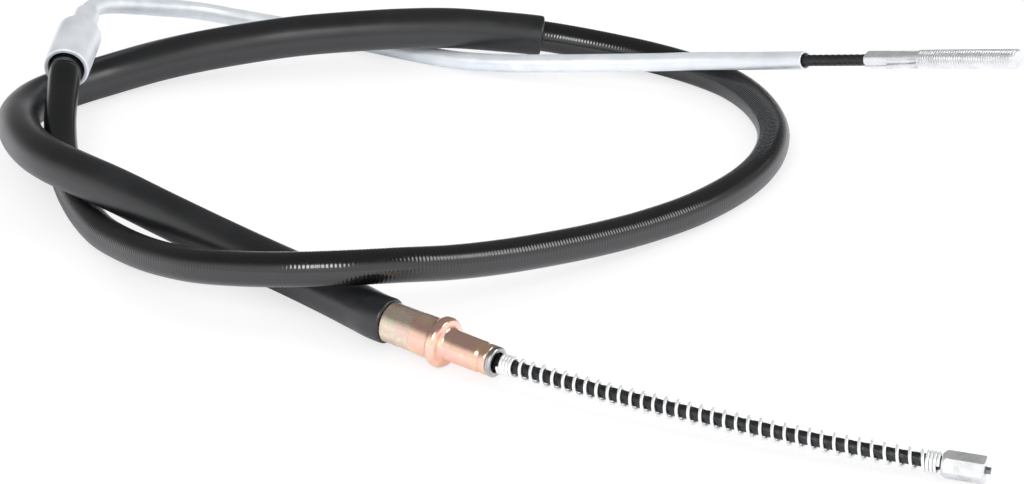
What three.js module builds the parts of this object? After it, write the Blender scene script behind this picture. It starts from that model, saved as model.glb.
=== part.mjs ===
// Parking brake cable, coiled once and lying on a flat surface. Millimetres, +Z up.
// A spring-loaded wire runs from the brake lever's terminal, through a stepped ferrule, a sleeved
// conduit, a stepped cup and a bent guide tube, to a threaded adjuster stud.
import * as THREE from "three";

// Outer pieces, radii and wall thicknesses
const SLEEVE_R = 8.5;
const SLEEVE_WALL = 1.6;
const CONDUIT_R = 6.5;
const JACKET_WALL = 1.4;
const ARMOUR_R = 4.75;
const ARMOUR_WALL = 1.5;
const TUBE_R = 3.75;
const TUBE_WALL = 0.8;
const GAP = 0.35;

// Inner cable: a steel strand with a plastic coat
const COAT_R = 2.35;
const CORE_R = 1.35;
const CORE_GAP = 0.3;

// Ferrule at the brake end
const BARREL_R = 7.65;
const BARREL_LENGTH = 21.4;
const BEAD_R = 9.3;
const BEAD_LENGTH = 4.6;
const SPOUT_R = 5.85;
const SPOUT_LENGTH = 19.7;
const CRIMP_SHARE = 0.6;
const CRIMP_FLATS = 6;
const CRIMP_FLAT_R = 7.35;
const FERRULE_BORE_R = 3.7;
const POCKET_CLEARANCE = 0.45;
const RING_R = 5.6;
const RING_LENGTH = 2.2;

// Return spring over the exposed cable
const WIRE_R = 0.6;
const COIL_R = 3.3;
const OPEN_TURNS = 35;
const CLOSED_TURNS = 4;
const CLOSED_PITCH = 1.27;

// Hexagonal terminal on the brake end
const TERMINAL_R = 4.9;
const TERMINAL_LENGTH = 14.7;
const TERMINAL_BACK = 0.7;
const TERMINAL_SPIN = 0.698;
const CORE_PROUD = 1.0;
const TERMINAL_CHAMFER = 1.5;
const COUNTERBORE_DEPTH = 3.0;

// Stepped cup between conduit and guide tube
const CUP_R = 9.3;
const CUP_WALL = 1.9;
const CUP_LENGTH = 27.5;
const CUP_NECK_R = 5.2;
const CUP_NECK_LENGTH = 14.5;
const CUP_TAPER = 2.5;

// Adjuster stud
const STUD_HEX_R = 3.75;
const STUD_HEX_LENGTH = 12.6;
const STUD_SHANK_R = 3.6;
const STUD_SHANK_LENGTH = 15.5;
const STUD_THREAD_R = 3.9;
const STUD_THREAD_LENGTH = 49.0;

// Lengths along the route
const CONDUIT_INSERT = 16.0;
const CUP_INSERT = 19.0;
const TUBE_INSERT = 13.0;
const TUBE_STRAIGHT = 35.7;
const TAIL_INSERT = 28.0;
const BRAKE_TAIL_INSERT = 2.0;
const EXPOSED_STUD_CABLE = 34.0;
const STATION_STEP = 15.0;

// How far one piece rises where it passes over another
const SLEEVE_OVER_CONDUIT = 2 * CONDUIT_R + GAP;
const SLEEVE_OVER_TUBE = 2 * TUBE_R + 2 * GAP;
const CONDUIT_OVER_SLEEVE = 2 * SLEEVE_R + GAP;
const CUP_OVER_SLEEVE = 2 * SLEEVE_R + GAP + CUP_R - CONDUIT_R;
const TUBE_OVER_CONDUIT = 2 * CONDUIT_R + GAP;

// The ferrule lies on its bead; the exposed cable leaves it on a wide arc that ends on the surface
const FERRULE_CENTRE = new THREE.Vector3(-24.2, -93.6, BEAD_R + 0.1);
const FERRULE_AXIS = new THREE.Vector3(0.796, -0.603, -0.048).normalize();
const ARC_START = new THREE.Vector3(-5.0, -107.7, BEAD_R - 1.2);
const ARC_END = new THREE.Vector3(158.8, -184.0, TERMINAL_R + 0.05);
const ARC_BULGE = 6.75;
const STUD_AXIS = new THREE.Vector3(0.68, -0.681, 0.272).normalize();

// Route rows: x, y, then the shares of the two climbs that this stretch makes
// Sleeved stretch: over the bare conduit, over the guide tube
const SLEEVED_ROWS = [
  [-54.2, -65.6, 0.08, 0],
  [-65.8, -51.3, 0.05, 0],
  [-81.8, -33.7, 0.05, 0],
  [-97.3, -20.3, 0.15, 0],
  [-114.8, -8.0, 0.38, 0],
  [-132.4, 3.2, 0.68, 0],
  [-150.0, 14.9, 0.97, 0],
  [-165.5, 28.0, 1.07, 0],
  [-176.8, 41.0, 1.03, 0],
  [-185.6, 57.1, 0.9, 0],
  [-193.9, 82.7, 0.65, 0],
  [-197.4, 110.8, 0.33, 0],
  [-193.8, 133.8, 0.1, 0],
  [-187.4, 145.7, 0.03, 0],
  [-178.9, 155.2, 0.01, 0],
  [-167.3, 165.0, 0, 0.05],
  [-148.2, 176.0, 0, 0.26],
  [-131.2, 181.9, 0, 0.5],
  [-107.5, 187.5, 0, 0.78],
  [-89.1, 190.1, 0, 0.98],
  [-68.1, 192.4, 0, 1.11],
  [-47.1, 194.8, 0, 1.16],
  [-26.1, 198.2, 0, 1.03],
  [-5.1, 203.0, 0, 0.62],
  [9.8, 205.2, 0, 0.33],
];
// Bare stretch: over the sleeve, up to the cup
const BARE_ROWS = [
  [24.6, 204.2, 0.15, 0],
  [41.4, 198.9, 0.07, 0],
  [60.2, 189.8, 0.01, 0],
  [78.4, 175.2, 0, 0],
  [91.0, 160.1, 0, 0],
  [100.5, 138.7, 0, 0],
  [105.0, 110.8, 0, 0],
  [101.4, 83.7, 0, 0],
  [90.9, 58.3, 0, 0],
  [71.7, 31.3, 0.03, 0],
  [51.6, 10.9, 0.11, 0],
  [32.3, -7.3, 0.26, 0],
  [13.5, -23.7, 0.44, 0],
  [-4.9, -38.3, 0.63, 0],
  [-22.8, -50.6, 0.83, 0],
  [-40.6, -60.1, 1.02, 0],
  [-58.2, -64.8, 1.08, 0],
  [-76.2, -64.3, 1.03, 0],
  [-94.7, -57.9, 0.87, 0],
  [-114.4, -46.1, 0.64, 0],
  [-126.8, -34.4, 0.47, 0],
  [-135.8, -23.6, 0.34, 0],
  [-145.9, -8.5, 0.18, 0],
  [-154.9, 7.0, 0.07, 0],
  [-162.6, 25.0, 0.01, 0],
  [-168.8, 42.9, 0, 0.01],
  [-174.0, 62.5, 0, 0.04],
  [-178.0, 82.1, 0, 0.2],
  [-180.1, 99.3, 0, 0.48],
  [-180.7, 116.3, 0, 0.74],
];
// Cup and guide tube: above the cup's mouth, over the bare conduit
const CUP_ROWS = [
  [-180.5, 129.7, 0, 0],
  [-177.3, 156.8, 5.2, 0],
  [-175.9, 168.2, 7.4, 0],
];
const TUBE_ROWS = [
  [-174.6, 175.0, 1.02, 0],
  [-171.4, 181.2, 1.0, 0],
  [-166.4, 187.2, 0.94, 0],
  [-160.0, 193.4, 0.85, 0],
  [-150.2, 202.9, 0.7, 0],
  [-134.1, 216.0, 0.48, 0],
  [-118.9, 222.1, 0.3, 0],
  [-90.9, 224.1, 0.09, 0],
  [-60.5, 212.7, 0.01, 0],
  [-37.2, 199.7, 0.01, 0],
  [-21.9, 191.8, 0, 0.06],
  [-5.0, 185.5, 0, 0.16],
  [11.7, 180.9, 0, 0.28],
  [36.7, 174.3, 0, 0.49],
  [61.4, 166.2, 0, 0.75],
  [77.7, 160.4, 0, 0.96],
  [94.3, 152.3, 0, 1.2],
];

const FINISH = {
  sleeve: new THREE.MeshStandardMaterial({ color: 0x232426, roughness: 0.8 }),
  jacket: new THREE.MeshStandardMaterial({ color: 0x141416, roughness: 0.35 }),
  coat: new THREE.MeshStandardMaterial({ color: 0x1b1b1d, roughness: 0.45 }),
  steel: new THREE.MeshStandardMaterial({ color: 0x8d9096, roughness: 0.4, metalness: 1 }),
  zinc: new THREE.MeshStandardMaterial({ color: 0xc9ced4, roughness: 0.3, metalness: 1 }),
  passivated: new THREE.MeshStandardMaterial({ color: 0xd0a578, roughness: 0.25, metalness: 1 }),
};

const group = new THREE.Group();
group.name = "parking_brake_cable";

function add(name, geometry, material) {
  const mesh = new THREE.Mesh(facingOut(geometry), material.clone());
  mesh.name = name;
  group.add(mesh);
  return mesh;
}

// Reverses the triangles of a closed body that was built inside out
function facingOut(geometry) {
  const flat = geometry.index ? geometry.toNonIndexed() : geometry;
  const p = flat.attributes.position;
  const corner = [0, 1, 2].map(() => new THREE.Vector3());
  let volume = 0;
  for (let i = 0; i < p.count; i += 3) {
    corner.forEach((c, k) => c.fromBufferAttribute(p, i + k));
    volume += corner[0].dot(corner[1].clone().cross(corner[2]));
  }
  const turn = volume < 0;
  const out = new Float32Array(p.count * 3);
  for (let i = 0; i < p.count; i += 3) {
    for (let k = 0; k < 3; k += 1) {
      const from = i + (turn ? 2 - k : k);
      out.set([p.getX(from), p.getY(from), p.getZ(from)], 3 * (i + k));
    }
  }
  const result = new THREE.BufferGeometry();
  result.setAttribute("position", new THREE.BufferAttribute(out, 3));
  result.computeVertexNormals();
  return result;
}

// A polygon's corners on a circle; a hole's corners are set out so that its flats keep the radius
function ringPoints(radius, sides, hole = false) {
  const r = hole ? radius / Math.cos(Math.PI / sides) : radius;
  return Array.from({ length: sides }, (_, i) => {
    const a = (2 * Math.PI * i) / sides;
    return new THREE.Vector2(r * Math.cos(a), r * Math.sin(a));
  });
}

// Stops along a curve: an even spacing that also passes through the ends of its pieces
function sharedStops(total, ends, step) {
  const marks = [0, ...ends, total];
  const stops = [];
  for (let i = 0; i + 1 < marks.length; i += 1) {
    const count = Math.max(Math.round((marks[i + 1] - marks[i]) / step), 1);
    for (let k = 0; k < count; k += 1) {
      stops.push(marks[i] + (k / count) * (marks[i + 1] - marks[i]));
    }
  }
  return [...stops, total];
}

// Part of a longer curve, sampled at stops that every piece on that curve shares
class Stretch extends THREE.Curve {
  constructor(base, from, to, shared) {
    super();
    this.base = base;
    this.total = base.getLength();
    this.stops = [from, ...shared.filter((s) => s > from + 3 && s < to - 3), to];
  }

  get steps() {
    return this.stops.length - 1;
  }

  fraction(u) {
    const k = Math.min(Math.floor(u * this.steps + 1e-9), this.steps - 1);
    const s = this.stops[k] + (u * this.steps - k) * (this.stops[k + 1] - this.stops[k]);
    return Math.min(Math.max(s / this.total, 0), 1);
  }

  getPoint(u) {
    return this.base.getPointAt(this.fraction(u));
  }

  getPointAt(u) {
    return this.getPoint(u);
  }

  getTangentAt(u) {
    return this.base.getTangentAt(this.fraction(u));
  }
}

// Circular arc from one point to another; bulge is its rise over the chord towards a side
class WideArc extends THREE.Curve {
  constructor(start, end, side, bulge) {
    super();
    const chord = end.clone().sub(start);
    const length = chord.length();
    this.along = chord.normalize();
    this.side = side.clone().addScaledVector(this.along, -side.dot(this.along)).normalize();
    this.radius = (length * length / 4 + bulge * bulge) / (2 * bulge);
    this.half = Math.asin(length / 2 / this.radius);
    this.centre = start.clone().add(end).multiplyScalar(0.5);
    this.centre.addScaledVector(this.side, bulge - this.radius);
    this.normal = this.side.clone().cross(this.along);
  }

  // Point at an arc length from the start; a negative length runs back into the ferrule
  at(s) {
    const a = s / this.radius - this.half;
    return this.centre
      .clone()
      .addScaledVector(this.side, this.radius * Math.cos(a))
      .addScaledVector(this.along, this.radius * Math.sin(a));
  }

  heading(s) {
    const a = s / this.radius - this.half;
    return this.along.clone().multiplyScalar(Math.cos(a)).addScaledVector(this.side, -Math.sin(a));
  }

  get arcLength() {
    return 2 * this.half * this.radius;
  }
}

class ArcStretch extends THREE.Curve {
  constructor(arc, from, to) {
    super();
    this.arc = arc;
    this.from = from;
    this.to = to;
  }

  getPoint(u) {
    return this.arc.at(this.from + u * (this.to - this.from));
  }
}

// Right-hand coil over an arc: closed turns at both ends, evenly open between
class Coil extends THREE.Curve {
  constructor(arc, from, to) {
    super();
    this.arc = arc;
    this.from = from;
    this.closed = CLOSED_TURNS * CLOSED_PITCH;
    this.open = to - from - 2 * this.closed;
    this.turns = OPEN_TURNS + 2 * CLOSED_TURNS;
  }

  advance(turn) {
    const open = Math.min(Math.max(turn - CLOSED_TURNS, 0), OPEN_TURNS);
    const closed = turn - open;
    return closed * CLOSED_PITCH + (open / OPEN_TURNS) * this.open;
  }

  getPoint(u) {
    const turn = u * this.turns;
    const s = this.from + this.advance(turn);
    const heading = this.arc.heading(s);
    const up = this.arc.normal;
    const out = heading.clone().cross(up);
    const a = 2 * Math.PI * turn;
    return this.arc
      .at(s)
      .addScaledVector(out, COIL_R * Math.cos(a))
      .addScaledVector(up, -COIL_R * Math.sin(a));
  }
}

function sweep(curve, steps, outer, sides, inner = 0) {
  const shape = new THREE.Shape(ringPoints(outer, sides));
  if (inner > 0) {
    shape.holes.push(new THREE.Path(ringPoints(inner, sides, true)));
  }
  return new THREE.ExtrudeGeometry(shape, { steps, bevelEnabled: false, extrudePath: curve });
}

function hose(name, base, from, to, outer, inner, sides, material) {
  const stretch = new Stretch(base, from, to, stops);
  return add(name, sweep(stretch, stretch.steps, outer, sides, inner), material);
}

// Turns a profile of [radius, height] rows about an axis that starts at a point
function turned(rows, origin, axis, sides, spin = 0) {
  const profile = rows.map(([r, h]) => new THREE.Vector2(r, h));
  const geometry = new THREE.LatheGeometry(profile, sides, spin);
  const across = new THREE.Vector3(0, 0, 1).cross(axis).normalize();
  const frame = new THREE.Matrix4().makeBasis(across, axis, across.clone().cross(axis));
  geometry.applyMatrix4(frame.setPosition(origin));
  return geometry;
}

// Presses flats into the outside of a turned piece between two heights
function crimp(geometry, from, to, flats, flatRadius) {
  const p = geometry.attributes.position;
  const pitch = (2 * Math.PI) / flats;
  for (let i = 0; i < p.count; i += 1) {
    const r = Math.hypot(p.getX(i), p.getZ(i));
    const h = p.getY(i);
    if (r > flatRadius && h >= from && h <= to) {
      const a = Math.atan2(p.getX(i), p.getZ(i)) + Math.PI;
      const off = (a % pitch) - pitch / 2;
      const limited = Math.min(r, flatRadius / Math.cos(off));
      p.setX(i, (p.getX(i) * limited) / r);
      p.setZ(i, (p.getZ(i) * limited) / r);
    }
  }
  return geometry;
}

function rise(rows, rest, first, second) {
  return rows.map(([x, y, a, b]) => new THREE.Vector3(x, y, rest + a * first + b * second));
}

// Whole route, from inside the ferrule to the guide tube's end
function buildRoute() {
  const mouth = FERRULE_CENTRE.clone().addScaledVector(FERRULE_AXIS, -BARREL_LENGTH - BEAD_LENGTH / 2);
  const inside = [26, 13].map((d) => mouth.clone().addScaledVector(FERRULE_AXIS, d));
  const sleeved = rise(SLEEVED_ROWS, SLEEVE_R, SLEEVE_OVER_CONDUIT, SLEEVE_OVER_TUBE);
  const bare = rise(BARE_ROWS, CONDUIT_R, CONDUIT_OVER_SLEEVE, CUP_OVER_SLEEVE - 1.5);
  const mouthHeight = CONDUIT_R + CUP_OVER_SLEEVE - 1.2;
  const cup = rise(CUP_ROWS, mouthHeight, 1, 0);
  const climb = cup[2].z + 0.2 - TUBE_R;
  const tube = rise(TUBE_ROWS, TUBE_R + 0.3, climb, TUBE_OVER_CONDUIT);
  const end = tube[tube.length - 1].clone();
  const straight = [0.34, 0.67, 1].map((f) => end.clone().addScaledVector(STUD_AXIS, f * TUBE_STRAIGHT));
  const outside = mouth.clone().addScaledVector(FERRULE_AXIS, -6);
  const points = [...inside, mouth, outside, ...sleeved, ...bare, ...cup, ...tube, ...straight];
  const curve = new THREE.CatmullRomCurve3(points, false, "centripetal");
  curve.arcLengthDivisions = 6000;
  const cupKnot = 4 + sleeved.length + bare.length;
  return { curve, mouth, cup, sleeveKnot: 3.2 + sleeved.length, cupKnot };
}

function lengthAt(curve, knot) {
  const table = curve.getLengths();
  return table[Math.round((knot / (curve.points.length - 1)) * (table.length - 1))];
}

const { curve: route, mouth, cup, sleeveKnot, cupKnot } = buildRoute();
const routeLength = route.getLength();
const mouthAt = lengthAt(route, 2);
const sleeveEnd = lengthAt(route, sleeveKnot);
const cupMouth = lengthAt(route, cupKnot);
const cupAxis = cup[2].clone().sub(cup[0]).normalize();
const straightFrom = routeLength - TUBE_STRAIGHT;
const stops = sharedStops(routeLength, [mouthAt, sleeveEnd, cupMouth, straightFrom], STATION_STEP);

// Conduit: jacket over a spiral steel armour, with the sleeve drawn over the first stretch
function buildConduit() {
  const from = mouthAt - CONDUIT_INSERT;
  const to = cupMouth + CUP_INSERT;
  hose("conduit_jacket", route, from, to, CONDUIT_R, CONDUIT_R - JACKET_WALL, 12, FINISH.jacket);
  hose("conduit_armour", route, from, to, ARMOUR_R, ARMOUR_R - ARMOUR_WALL, 8, FINISH.steel);
  hose("outer_sleeve", route, mouthAt + GAP, sleeveEnd, SLEEVE_R, SLEEVE_R - SLEEVE_WALL, 14, FINISH.sleeve);
}

function buildFerrule() {
  const pocket = CONDUIT_R + POCKET_CLEARANCE;
  const beadFrom = BARREL_LENGTH;
  const beadTo = BARREL_LENGTH + BEAD_LENGTH;
  const tip = beadTo + SPOUT_LENGTH;
  const rows = [
    [pocket, 0],
    [BARREL_R - 0.3, 0],
    [BARREL_R, 0.3],
    [BARREL_R, BARREL_LENGTH * CRIMP_SHARE],
    [BARREL_R, BARREL_LENGTH * CRIMP_SHARE + 1.2],
    [BARREL_R, beadFrom - 0.6],
    [BEAD_R - 0.5, beadFrom + 0.5],
    [BEAD_R, beadFrom + 1.4],
    [BEAD_R, beadTo - 1.4],
    [BEAD_R - 0.5, beadTo - 0.5],
    [SPOUT_R + 0.6, beadTo],
    [SPOUT_R, beadTo + 0.6],
    [SPOUT_R - 0.2, tip - 4.4],
    [SPOUT_R - 0.7, tip - 3.6],
    [SPOUT_R - 0.7, tip - 3.2],
    [SPOUT_R - 0.3, tip - 2.4],
    [SPOUT_R - 0.3, tip - 0.4],
    [SPOUT_R - 0.7, tip],
    [FERRULE_BORE_R + 0.9, tip],
    [FERRULE_BORE_R + 0.9, tip - 3.0],
    [FERRULE_BORE_R, tip - 3.0],
    [FERRULE_BORE_R, beadFrom - 1.0],
    [pocket, beadFrom - 2.0],
    [pocket, 0],
  ];
  const profile = rows.map(([r, h]) => new THREE.Vector2(r, h));
  const blank = new THREE.LatheGeometry(profile, 24);
  crimp(blank, -0.1, BARREL_LENGTH * CRIMP_SHARE + 0.1, CRIMP_FLATS, CRIMP_FLAT_R);
  add("brake_ferrule", placed(blank, mouth, FERRULE_AXIS), FINISH.passivated);
  const ringAt = mouth.clone().addScaledVector(FERRULE_AXIS, tip);
  const ring = [
    [FERRULE_BORE_R, -2.6],
    [FERRULE_BORE_R + 0.55, -2.6],
    [FERRULE_BORE_R + 0.55, 0.3],
    [RING_R - 0.3, 0.3],
    [RING_R, 0.6],
    [RING_R, RING_LENGTH - 0.3],
    [RING_R - 0.3, RING_LENGTH],
    [FERRULE_BORE_R, RING_LENGTH],
    [FERRULE_BORE_R, -2.6],
  ];
  add("ferrule_end_ring", turned(ring, ringAt, FERRULE_AXIS, 20), FINISH.zinc);
}

function placed(geometry, origin, axis) {
  const across = new THREE.Vector3(0, 0, 1).cross(axis).normalize();
  const frame = new THREE.Matrix4().makeBasis(across, axis, across.clone().cross(axis));
  return geometry.applyMatrix4(frame.setPosition(origin));
}

// Exposed cable, return spring and terminal, all on one wide arc
function buildBrakeEnd() {
  const side = ARC_END.clone().sub(ARC_START).cross(new THREE.Vector3(0, 0, 1)).normalize();
  side.addScaledVector(new THREE.Vector3(0, 0, 1), 0.08).normalize();
  const arc = new WideArc(ARC_START, ARC_END, side, ARC_BULGE);
  const end = arc.arcLength - TERMINAL_BACK;
  const seat = end - TERMINAL_LENGTH;
  const coatEnd = seat + COUNTERBORE_DEPTH - 0.3;
  const coat = new ArcStretch(arc, -BRAKE_TAIL_INSERT, coatEnd);
  add("brake_cable_coat", sweep(coat, 14, COAT_R, 8, CORE_R + CORE_GAP), FINISH.coat);
  const core = new ArcStretch(arc, -BRAKE_TAIL_INSERT, arc.arcLength + CORE_PROUD);
  add("brake_cable_core", sweep(core, 15, CORE_R, 6), FINISH.steel);
  const spring = new Coil(arc, RING_LENGTH * 0.5 + WIRE_R, seat - WIRE_R - 0.3);
  add("return_spring", sweep(spring, spring.turns * 10, WIRE_R, 5), FINISH.zinc);
  const bore = CORE_R + 0.35;
  const mouthBore = COAT_R + 0.35;
  const rows = [
    [mouthBore / Math.cos(Math.PI / 6), 0],
    [TERMINAL_R - 1.0, 0],
    [TERMINAL_R, TERMINAL_CHAMFER],
    [TERMINAL_R, TERMINAL_LENGTH],
    [bore / Math.cos(Math.PI / 6), TERMINAL_LENGTH],
    [bore / Math.cos(Math.PI / 6), COUNTERBORE_DEPTH],
    [mouthBore / Math.cos(Math.PI / 6), COUNTERBORE_DEPTH],
    [mouthBore / Math.cos(Math.PI / 6), 0],
  ];
  const axis = arc.at(end).sub(arc.at(seat)).normalize();
  add("brake_terminal", turned(rows, arc.at(seat), axis, 6, TERMINAL_SPIN), FINISH.zinc);
  return arc;
}

function buildCup() {
  const inner = CUP_R - CUP_WALL;
  const neckBore = TUBE_R + 0.35;
  const step = CUP_LENGTH + CUP_TAPER;
  const rows = [
    [inner + 0.3, 0],
    [CUP_R - 0.4, 0],
    [CUP_R, 0.6],
    [CUP_R, CUP_LENGTH - 0.8],
    [CUP_R - 0.6, CUP_LENGTH],
    [CUP_NECK_R, step],
    [CUP_NECK_R, CUP_LENGTH + CUP_NECK_LENGTH - 0.4],
    [CUP_NECK_R - 0.4, CUP_LENGTH + CUP_NECK_LENGTH],
    [neckBore, CUP_LENGTH + CUP_NECK_LENGTH],
    [neckBore, CUP_LENGTH],
    [inner, CUP_LENGTH - 3.0],
    [inner, 0.5],
    [inner + 0.3, 0],
  ];
  add("tube_ferrule", turned(rows, cup[0], cupAxis, 24), FINISH.zinc);
}

function buildGuideTube() {
  const from = cupMouth + CUP_LENGTH + CUP_NECK_LENGTH - TUBE_INSERT;
  hose("guide_tube", route, from, routeLength, TUBE_R, TUBE_R - TUBE_WALL, 10, FINISH.zinc);
}

// The wire's hidden run ends clear of both moving ends
function buildHiddenRun() {
  const from = mouthAt - CONDUIT_INSERT;
  const to = routeLength - TAIL_INSERT - 0.5;
  hose("inner_cable_run", route, from, to, COAT_R, 0, 6, FINISH.coat);
}

function buildStudEnd() {
  const tubeEnd = route.getPointAt(1);
  const tailFrom = tubeEnd.clone().addScaledVector(STUD_AXIS, -TAIL_INSERT);
  const tailLength = TAIL_INSERT + EXPOSED_STUD_CABLE;
  const hollow = CORE_R + CORE_GAP;
  const coat = [
    [hollow, 0],
    [COAT_R, 0],
    [COAT_R, tailLength + 2.6],
    [hollow, tailLength + 2.6],
    [hollow, 0],
  ];
  add("stud_cable_coat", turned(coat, tailFrom, STUD_AXIS, 10), FINISH.coat);
  const core = [
    [0, 0],
    [CORE_R, 0],
    [CORE_R, tailLength + 11.0],
    [0, tailLength + 11.0],
  ];
  add("stud_cable_core", turned(core, tailFrom, STUD_AXIS, 8), FINISH.steel);
  const studAt = tubeEnd.clone().addScaledVector(STUD_AXIS, EXPOSED_STUD_CABLE);
  add("adjuster_stud", studBody(studAt), FINISH.zinc);
}

// Hexagonal socket, round shank and threaded end; the socket's bore takes coat and core
function studBody(origin) {
  const socket = COAT_R + 0.3;
  const bore = CORE_R + 0.3;
  const shank = STUD_HEX_LENGTH + STUD_SHANK_LENGTH;
  const end = shank + STUD_THREAD_LENGTH;
  const rows = [
    [0, 12.0],
    [bore, 12.0],
    [bore, 3.0],
    [socket, 3.0],
    [socket, 0],
    [STUD_HEX_R - 0.5, 0],
    [STUD_HEX_R, 1.2],
    [STUD_HEX_R, STUD_HEX_LENGTH - 0.3],
    [STUD_SHANK_R, STUD_HEX_LENGTH],
    [STUD_SHANK_R, shank - 0.6],
    [STUD_THREAD_R, shank],
    [STUD_THREAD_R, end - 0.9],
    [STUD_THREAD_R - 0.9, end],
    [0, end],
  ];
  const profile = rows.map(([r, h]) => new THREE.Vector2(r, h));
  const blank = new THREE.LatheGeometry(profile, 24);
  crimp(blank, 1.1, STUD_HEX_LENGTH - 0.2, 6, STUD_HEX_R * 0.89);
  return placed(blank, origin, STUD_AXIS);
}

// Moves everything so that the origin is the middle of the bounding box's floor
function centre() {
  const box = new THREE.Box3().setFromObject(group);
  const middle = box.getCenter(new THREE.Vector3());
  for (const mesh of group.children) {
    mesh.geometry.translate(-middle.x, -middle.y, -box.min.z);
  }
}

buildConduit();
buildFerrule();
buildBrakeEnd();
buildCup();
buildGuideTube();
buildHiddenRun();
buildStudEnd();
centre();

export default group;
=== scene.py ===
# %% [markdown]
# # Parking brake cable
# A parking brake cable, coiled once and lying on a pale floor. The solids come from the packed
# frame. This script adds the camera, the detailed surfaces, the finishes and the light.

# %%
import math

import bpy
import numpy as np
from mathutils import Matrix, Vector


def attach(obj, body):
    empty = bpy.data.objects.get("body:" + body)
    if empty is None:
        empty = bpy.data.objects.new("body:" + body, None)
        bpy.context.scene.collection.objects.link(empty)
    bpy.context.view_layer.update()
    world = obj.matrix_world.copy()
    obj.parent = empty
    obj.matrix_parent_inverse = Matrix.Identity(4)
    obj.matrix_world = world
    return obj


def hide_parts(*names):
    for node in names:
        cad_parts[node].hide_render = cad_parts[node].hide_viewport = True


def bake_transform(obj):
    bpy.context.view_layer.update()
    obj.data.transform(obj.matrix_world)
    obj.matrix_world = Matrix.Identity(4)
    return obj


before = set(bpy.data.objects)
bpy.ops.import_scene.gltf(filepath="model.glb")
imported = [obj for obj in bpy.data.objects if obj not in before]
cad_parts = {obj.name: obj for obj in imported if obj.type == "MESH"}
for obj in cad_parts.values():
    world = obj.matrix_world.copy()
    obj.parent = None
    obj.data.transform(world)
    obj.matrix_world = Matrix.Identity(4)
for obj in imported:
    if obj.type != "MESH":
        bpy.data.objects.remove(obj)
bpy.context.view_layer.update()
print("nodes:", ", ".join(sorted(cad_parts)))

# %% [markdown]
# ## Camera
# The camera looks along +Y and 24 degrees down, with no roll. Its distance and lens were worked
# out from the photograph, so the render lines up with it.

# %%
PIXELS_WIDE = 1024
FOCAL_PIXELS = 3919.0
SENSOR_MM = 36.0
LOOK_DOWN = math.radians(24.0)


def make_camera():
    """Lens in mm = focal length in pixels / picture width in pixels * sensor width in mm."""
    data = bpy.data.cameras.new("camera")
    data.sensor_width = SENSOR_MM
    data.lens = FOCAL_PIXELS / PIXELS_WIDE * SENSOR_MM
    data.clip_start, data.clip_end = 0.05, 30.0
    camera = bpy.data.objects.new("camera", data)
    camera.location = (0.00472, -1.36752, 0.60643)
    camera.rotation_euler = (math.pi / 2 - LOOK_DOWN, 0.0, 0.0)
    bpy.context.scene.collection.objects.link(camera)
    bpy.context.scene.camera = camera
    return camera


camera = make_camera()
print("lens", round(camera.data.lens, 2), "mm")

# %% [markdown]
# ## Route
# The centreline from inside the ferrule to the guide tube's end, as the CAD model has it. A
# centripetal spline runs through the points, and all pieces on it are placed by length.

# %%
FERRULE_POINTS = [
    (-0.0176, -0.1149, 0.0092), (-0.0280, -0.1071, 0.0098), (-0.0383, -0.0992, 0.0105),
    (-0.0431, -0.0956, 0.0108),
]
SLEEVED_POINTS = [
    (-0.0495, -0.0855, 0.0095), (-0.0611, -0.0712, 0.0091), (-0.0771, -0.0536, 0.0091),
    (-0.0926, -0.0402, 0.0104), (-0.1101, -0.0279, 0.0135), (-0.1277, -0.0167, 0.0175),
    (-0.1453, -0.0050, 0.0214), (-0.1608, 0.0081, 0.0227), (-0.1721, 0.0211, 0.0222),
    (-0.1809, 0.0372, 0.0204), (-0.1892, 0.0628, 0.0171), (-0.1927, 0.0909, 0.0128),
    (-0.1891, 0.1139, 0.0098), (-0.1827, 0.1258, 0.0088), (-0.1742, 0.1353, 0.0086),
    (-0.1626, 0.1451, 0.0088), (-0.1435, 0.1561, 0.0106), (-0.1265, 0.1620, 0.0125),
    (-0.1028, 0.1676, 0.0148), (-0.0844, 0.1702, 0.0165), (-0.0634, 0.1725, 0.0175),
    (-0.0424, 0.1749, 0.0179), (-0.0214, 0.1783, 0.0169), (-0.0004, 0.1831, 0.0135),
    (0.0145, 0.1853, 0.0111),
]
BARE_POINTS = [
    (0.0293, 0.1843, 0.0090), (0.0461, 0.1790, 0.0076), (0.0649, 0.1699, 0.0066),
    (0.0831, 0.1553, 0.0064), (0.0957, 0.1402, 0.0064), (0.1052, 0.1188, 0.0064),
    (0.1097, 0.0909, 0.0064), (0.1061, 0.0638, 0.0064), (0.0956, 0.0384, 0.0064),
    (0.0764, 0.0114, 0.0070), (0.0563, -0.0090, 0.0083), (0.0370, -0.0272, 0.0109),
    (0.0182, -0.0436, 0.0141), (-0.0002, -0.0582, 0.0174), (-0.0181, -0.0705, 0.0208),
    (-0.0359, -0.0800, 0.0241), (-0.0535, -0.0847, 0.0252), (-0.0715, -0.0842, 0.0243),
    (-0.0900, -0.0778, 0.0215), (-0.1097, -0.0660, 0.0175), (-0.1221, -0.0543, 0.0146),
    (-0.1311, -0.0435, 0.0123), (-0.1412, -0.0284, 0.0096), (-0.1502, -0.0129, 0.0076),
    (-0.1579, 0.0051, 0.0066), (-0.1641, 0.0230, 0.0066), (-0.1693, 0.0426, 0.0072),
    (-0.1733, 0.0622, 0.0102), (-0.1754, 0.0794, 0.0154), (-0.1760, 0.0964, 0.0202),
]
CUP_POINTS = [
    (-0.1758, 0.1098, 0.0254), (-0.1726, 0.1369, 0.0306), (-0.1712, 0.1483, 0.0328),
]
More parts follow.
